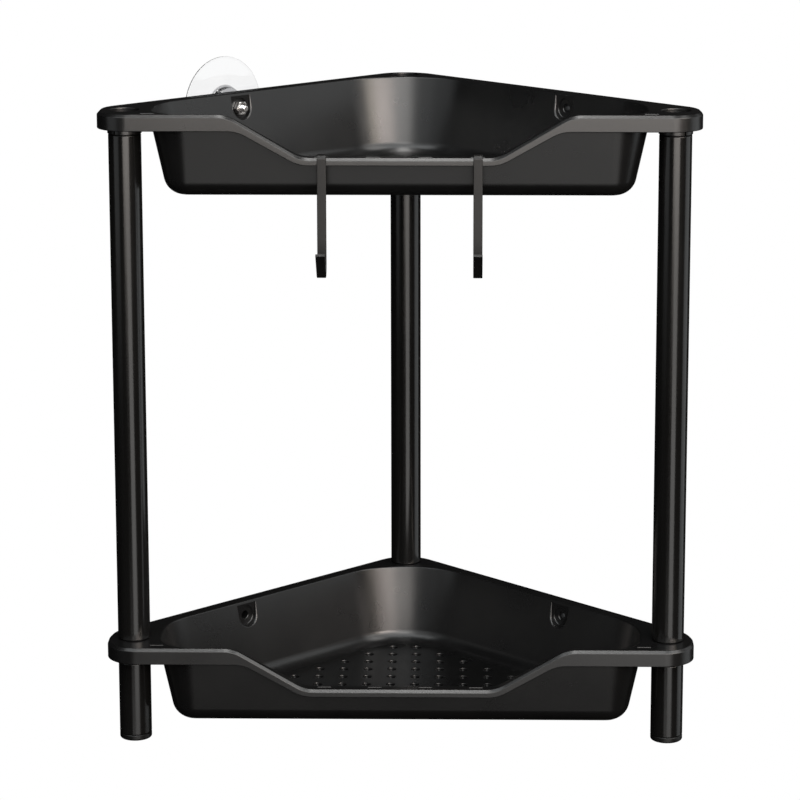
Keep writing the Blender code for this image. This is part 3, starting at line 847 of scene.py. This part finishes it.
class Nodes:
    """Short calls for building one material's node tree."""

    def __init__(self, name):
        self.material = bpy.data.materials.new(name)
        self.material.use_nodes = True
        self.tree = self.material.node_tree
        self.shader = self.tree.nodes["Principled BSDF"]
        self.coords = self.tree.nodes.new("ShaderNodeTexCoord").outputs["Object"]

    def set(self, **values):
        """Sets sockets of the shader; an underscore stands for a space."""
        for name, value in values.items():
            self.shader.inputs[name.replace("_", " ")].default_value = value

    def add(self, kind, **inputs):
        """A new node; each input is a value, or an output that is linked to it."""
        node = self.tree.nodes.new(kind)
        for name, value in inputs.items():
            socket = node.inputs[name.replace("_", " ")]
            if isinstance(value, bpy.types.NodeSocket):
                self.tree.links.new(value, socket)
            else:
                socket.default_value = value
        return node

    def link(self, output, name):
        self.tree.links.new(output, self.shader.inputs[name])

    def noise(self, scale, detail=2.0, stretch=None):
        coords = self.coords
        if stretch:
            mapping = self.add("ShaderNodeMapping", Vector=coords, Scale=stretch)
            coords = mapping.outputs["Vector"]
        node = self.add("ShaderNodeTexNoise", Vector=coords, Scale=scale, Detail=detail)
        return node.outputs["Fac"]

    def ramp(self, fac, low, high):
        """A number from low to high as fac goes from 0.3 to 0.7, where most of a noise lies."""
        return self.spread(fac, 0.3, 0.7, low, high)

    def spread(self, value, start, end, low, high):
        """A number from low to high as value goes from start to end."""
        limits = dict(From_Min=start, From_Max=end, To_Min=low, To_Max=high)
        return self.add("ShaderNodeMapRange", Value=value, **limits).outputs["Result"]

    def blend(self, fac, first, second):
        """A colour that goes from first to second over the middle of a noise."""
        node = self.tree.nodes.new("ShaderNodeValToRGB")
        node.color_ramp.elements[0].position = 0.35
        node.color_ramp.elements[1].position = 0.65
        node.color_ramp.elements[0].color = (*first, 1)
        node.color_ramp.elements[1].color = (*second, 1)
        self.tree.links.new(fac, node.inputs["Fac"])
        return node.outputs["Color"]

    def bump(self, *layers):
        """Bump from (height, strength, distance in metres) layers, coarse first."""
        normal = None
        for height, strength, distance in layers:
            node = self.add("ShaderNodeBump", Strength=strength, Distance=distance, Height=height)
            if normal is not None:
                self.tree.links.new(normal, node.inputs["Normal"])
            normal = node.outputs["Normal"]
        self.link(normal, "Normal")


def tray_plastic():
    """Satin black moulded plastic with a fine spark-eroded grain."""
    n = Nodes("tray_plastic")
    n.set(IOR=1.5)
    cloud = n.noise(35.0, 3.0)
    n.link(n.blend(cloud, (0.0030, 0.0030, 0.0031), (0.0040, 0.0040, 0.0040)), "Base Color")
    n.link(n.ramp(cloud, 0.27, 0.30), "Roughness")
    n.bump((n.noise(160.0, 2.0), 0.10, 0.00004), (n.noise(2600.0, 2.0), 0.40, 0.00003))
    return n.material


def cap_plastic():
    """Matt black plastic of the plugs, joiners and feet."""
    n = Nodes("cap_plastic")
    n.set(Specular_IOR_Level=0.32, IOR=1.5)
    cloud = n.noise(60.0, 3.0)
    n.link(n.blend(cloud, (0.0025, 0.0025, 0.0025), (0.0035, 0.0035, 0.0035)), "Base Color")
    n.link(n.ramp(cloud, 0.30, 0.36), "Roughness")
    n.bump((n.noise(1900.0, 2.0), 0.25, 0.00003))
    return n.material


def pole_steel():
    """Black powder coat on thin tube: glossy enough to stripe, with a faint orange peel."""
    n = Nodes("pole_steel")
    n.set(IOR=1.5)
    cloud = n.noise(45.0, 2.0, stretch=(1.0, 1.0, 0.25))
    n.link(n.blend(cloud, (0.0028, 0.0027, 0.0026), (0.0036, 0.0035, 0.0034)), "Base Color")
    n.link(n.ramp(cloud, 0.17, 0.20), "Roughness")
    n.bump((n.noise(420.0, 2.0), 0.08, 0.00004), (n.noise(2200.0, 1.0), 0.12, 0.00002))
    return n.material


def hook_steel():
    """Black satin paint on bent strip."""
    n = Nodes("hook_steel")
    n.set(Specular_IOR_Level=0.28, IOR=1.5)
    cloud = n.noise(90.0, 3.0)
    n.link(n.blend(cloud, (0.0040, 0.0039, 0.0038), (0.0050, 0.0049, 0.0048)), "Base Color")
    n.link(n.ramp(cloud, 0.38, 0.44), "Roughness")
    n.bump((n.noise(1700.0, 2.0), 0.3, 0.00003))
    return n.material


def clear_vinyl():
    """Clear soft vinyl, tinted dark grey inside the hub's radius: painted shade for the dark tray seen
    through the hub.
    """
    n = Nodes("clear_vinyl")
    n.set(Transmission_Weight=1.0, IOR=1.46)
    split = n.add("ShaderNodeSeparateXYZ", Vector=n.coords)
    flat = n.add("ShaderNodeCombineXYZ", X=split.outputs["X"], Y=split.outputs["Y"], Z=0.0)
    reach = n.add("ShaderNodeVectorMath", Vector=flat.outputs["Vector"])
    reach.operation = "LENGTH"
    # Painted shade: the hub's transmission colour is dark grey, standing in for the dark tray seen
    # through it; the disc beyond stays clear.
    disc = n.spread(reach.outputs["Value"], HUB_R + 0.9 * MM, HUB_R + 1.6 * MM, 0.0, 1.0)
    hub_painted_shade = n.add("ShaderNodeMix", Factor=disc)
    hub_painted_shade.data_type = "RGBA"
    hub_painted_shade.inputs["A"].default_value = (0.45, 0.45, 0.46, 1)
    hub_painted_shade.inputs["B"].default_value = (0.962, 0.963, 0.965, 1)
    n.link(hub_painted_shade.outputs["Result"], "Base Color")
    n.link(n.ramp(n.noise(25.0, 2.0), 0.02, 0.05), "Roughness")
    n.bump((n.noise(90.0, 2.0), 0.06, 0.00006))
    return n.material


def bright_steel():
    """Nickel-plated steel with fine turning marks."""
    n = Nodes("bright_steel")
    n.set(Metallic=1.0)
    cloud = n.noise(500.0, 3.0)
    n.link(n.blend(cloud, (0.80, 0.79, 0.78), (0.88, 0.87, 0.86)), "Base Color")
    n.link(n.ramp(n.noise(900.0, 2.0), 0.24, 0.32), "Roughness")
    n.bump((n.noise(2400.0, 2.0, stretch=(1.0, 1.0, 4.0)), 0.12, 0.00002))
    return n.material


# ---------------------------------------------------------------- studio


STUDIO_RADIUS = 2.6
WORLD_DIM = 0.01
FLOOR_HALF = 6.0
FLOOR_BELOW = 0.0002
WARM = (1.0, 0.887, 0.828)
AMBER = (1.0, 0.890, 0.755)
SOFT = (1.0, 0.935, 0.880)
NEUTRAL = (1.0, 0.985, 0.965)
COOL = (0.950, 0.985, 1.0)
SOFTBOXES = [
    # name, azimuths, elevation, (width, height) in degrees, radiance, colour
    ("key_core", (37,), 14, (14, 14), 17.3, WARM),
    ("key_left", (23,), 14, (14, 14), 13.9, WARM),
    ("key_right", (51,), 14, (14, 14), 10.2, AMBER),
    ("front_middle", (2,), 14, (28, 14), 3.3, NEUTRAL),
    ("front_level", (9,), 0, (42, 14), 5.0, SOFT),
    ("front_low", (16,), -15, (28, 14), 2.2, NEUTRAL),
    ("front_foot", (8,), -32, (56, 20), 1.05, NEUTRAL),
    ("high_left", (2,), 29, (28, 16), 7.4, NEUTRAL),
    ("high_right", (45,), 29, (60, 16), 4.2, NEUTRAL),
    ("left_near", (-27,), 21, (31, 30), 0.95, COOL),
    ("left_far", (-59,), 14, (37, 45), 0.68, COOL),
    ("right_side", (95,), 7, (40, 60), 0.95, COOL),
    ("right_rear", (125,), 21, (25, 30), 0.5, COOL),
    ("top_front", (-50, -10, 30), 52, (40, 26), 2.9, COOL),
    ("top_right", (70,), 52, (40, 26), 4.2, NEUTRAL),
    ("overhead", (0,), 82, (36, 36), 11.5, NEUTRAL),
]


def aim(obj, target):
    """Turns a light to face the target."""
    obj.rotation_mode = "QUATERNION"
    obj.rotation_quaternion = (target - obj.location).to_track_quat("-Z", "Y")


def softbox(name, target, azimuth, elevation, spread, radiance, colour):
    """A rectangular light; azimuth 0 is the front, 90 the object's right side.

    spread is its width and height as degrees seen from the target, radiance is in W/m2/sr.
    """
    width, height = [2 * STUDIO_RADIUS * math.tan(math.radians(angle / 2)) for angle in spread]
    width *= max(0.25, math.cos(math.radians(elevation)))
    data = bpy.data.lights.new(name, "AREA")
    data.shape = "RECTANGLE"
    data.size = width
    data.size_y = height
    data.energy = radiance * math.pi * width * height
    data.color = colour
    light = bpy.data.objects.new(name, data)
    bpy.context.scene.collection.objects.link(light)
    a = math.radians(azimuth)
    e = math.radians(elevation)
    away = Vector((math.sin(a) * math.cos(e), -math.cos(a) * math.cos(e), math.sin(e)))
    light.location = target + away * STUDIO_RADIUS
    aim(light, target)
    light.visible_camera = False


def make_world():
    """White to the lens and through the clear cup, nearly black to everything else."""
    world = bpy.data.worlds.new("studio")
    world.use_nodes = True
    bpy.context.scene.world = world
    tree = world.node_tree
    tree.nodes.clear()
    path = tree.nodes.new("ShaderNodeLightPath")
    mirrored = tree.nodes.new("ShaderNodeMath")
    mirrored.operation = "ADD"
    tree.links.new(path.outputs["Glossy Depth"], mirrored.inputs[0])
    tree.links.new(path.outputs["Diffuse Depth"], mirrored.inputs[1])
    direct = tree.nodes.new("ShaderNodeMath")
    direct.operation = "LESS_THAN"
    direct.inputs[1].default_value = 0.5
    tree.links.new(mirrored.outputs[0], direct.inputs[0])
    dim = tree.nodes.new("ShaderNodeBackground")
    dim.inputs["Color"].default_value = (WORLD_DIM, WORLD_DIM, WORLD_DIM, 1)
    white = tree.nodes.new("ShaderNodeBackground")
    white.inputs["Color"].default_value = (1, 1, 1, 1)
    white.inputs["Strength"].default_value = 1.0
    mix = tree.nodes.new("ShaderNodeMixShader")
    output = tree.nodes.new("ShaderNodeOutputWorld")
    tree.links.new(direct.outputs[0], mix.inputs["Fac"])
    tree.links.new(dim.outputs[0], mix.inputs[1])
    tree.links.new(white.outputs[0], mix.inputs[2])
    tree.links.new(mix.outputs[0], output.inputs["Surface"])


def make_floor():
    """A plain white floor that the black object doesn't mirror."""
    material = bpy.data.materials.new("floor_white")
    material.use_nodes = True
    shader = material.node_tree.nodes["Principled BSDF"]
    shader.inputs["Base Color"].default_value = (0.0, 0.0, 0.0, 1)
    shader.inputs["Roughness"].default_value = 1.0
    shader.inputs["Specular IOR Level"].default_value = 0.0
    shader.inputs["Emission Color"].default_value = (1, 1, 1, 1)
    shader.inputs["Emission Strength"].default_value = 1.0
    corners = [(x * FLOOR_HALF, y * FLOOR_HALF, 0) for x, y in ((-1, -1), (1, -1), (1, 1), (-1, 1))]
    bm = bmesh.new()
    bm.faces.new([bm.verts.new(corner) for corner in corners])
    mesh = bpy.data.meshes.new("floor")
    bm.to_mesh(mesh)
    bm.free()
    mesh.materials.append(material)
    floor = new_object("floor", mesh, Matrix.Translation((0, 0, CAD_BOX[0].z - FLOOR_BELOW)))
    floor.visible_diffuse = False
    floor.visible_glossy = False


# The photograph's camera, placed in the tray's plan and above the floor.
CAMERA_PLAN = Vector((0.036303, -1.655572, 0.58495))
CAMERA_TURN = math.radians(0.924)
CAMERA_DOWN = math.radians(11.319)
CAMERA_ROLL = math.radians(-0.031)
CAMERA_LENS = 138.2
CAMERA_SHIFT = (-0.02188, -0.12725)


def make_camera(plan_y):
    """The photograph's view; plan_y is where the plan's front poles stand in the frame."""
    data = bpy.data.cameras.new("camera")
    data.sensor_width = 36.0
    data.lens = CAMERA_LENS
    data.shift_x, data.shift_y = CAMERA_SHIFT
    camera = bpy.data.objects.new("camera", data)
    bpy.context.scene.collection.objects.link(camera)
    turn = Matrix.Rotation(CAMERA_TURN, 4, "Z") @ Matrix.Rotation(math.pi / 2 - CAMERA_DOWN, 4, "X")
    location = CAMERA_PLAN + Vector((0, plan_y, 0))
    camera.matrix_world = Matrix.Translation(location) @ turn @ Matrix.Rotation(CAMERA_ROLL, 4, "Z")
    bpy.context.scene.camera = camera


# ---------------------------------------------------------------- assembly


def build():
    """Camera, every visible piece, then the studio."""
    low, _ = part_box("upper_tray")
    plan_y = low.y + RIM_FRONT
    make_camera(plan_y)

    black = tray_plastic()
    caps = cap_plastic()
    poles = pole_steel()
    strip = hook_steel()
    bright = bright_steel()

    make_trays(black)
    for side in POLES:
        radius = middle("upper_pole_" + side)[4]
        make_tube("upper_pole_" + side, radius - TUBE_WALL, TUBE_LIP, poles)
        make_tube("leg_pole_" + side, radius - TUBE_WALL, TUBE_LIP, poles)
        make_tube("pole_joiner_" + side, JOINER_BORE_R, TUBE_LIP, caps)
        make_plug(side, caps)
        make_foot(side, caps)
    make_hook("left", plan_y, strip)
    make_hook("right", plan_y, strip)

    rim_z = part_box("upper_tray")[1].z
    at_tray = Matrix.Translation((0, plan_y, rim_z))
    skirt = at_tray @ stud_matrix(-1, RIM_BACK)
    make_cup(skirt, clear_vinyl())
    make_stud(skirt, bright)
    make_nut(at_tray @ stud_matrix(-1, POCKET_BACK + COUNTERBORE_DEPTH - GAP), bright)

    make_world()
    make_floor()
    target = (CAD_BOX[0] + CAD_BOX[1]) / 2
    for name, azimuths, *rest in SOFTBOXES:
        for azimuth in azimuths:
            softbox(name, target, azimuth, *rest)
    bpy.context.scene.view_settings.view_transform = "Standard"


build()
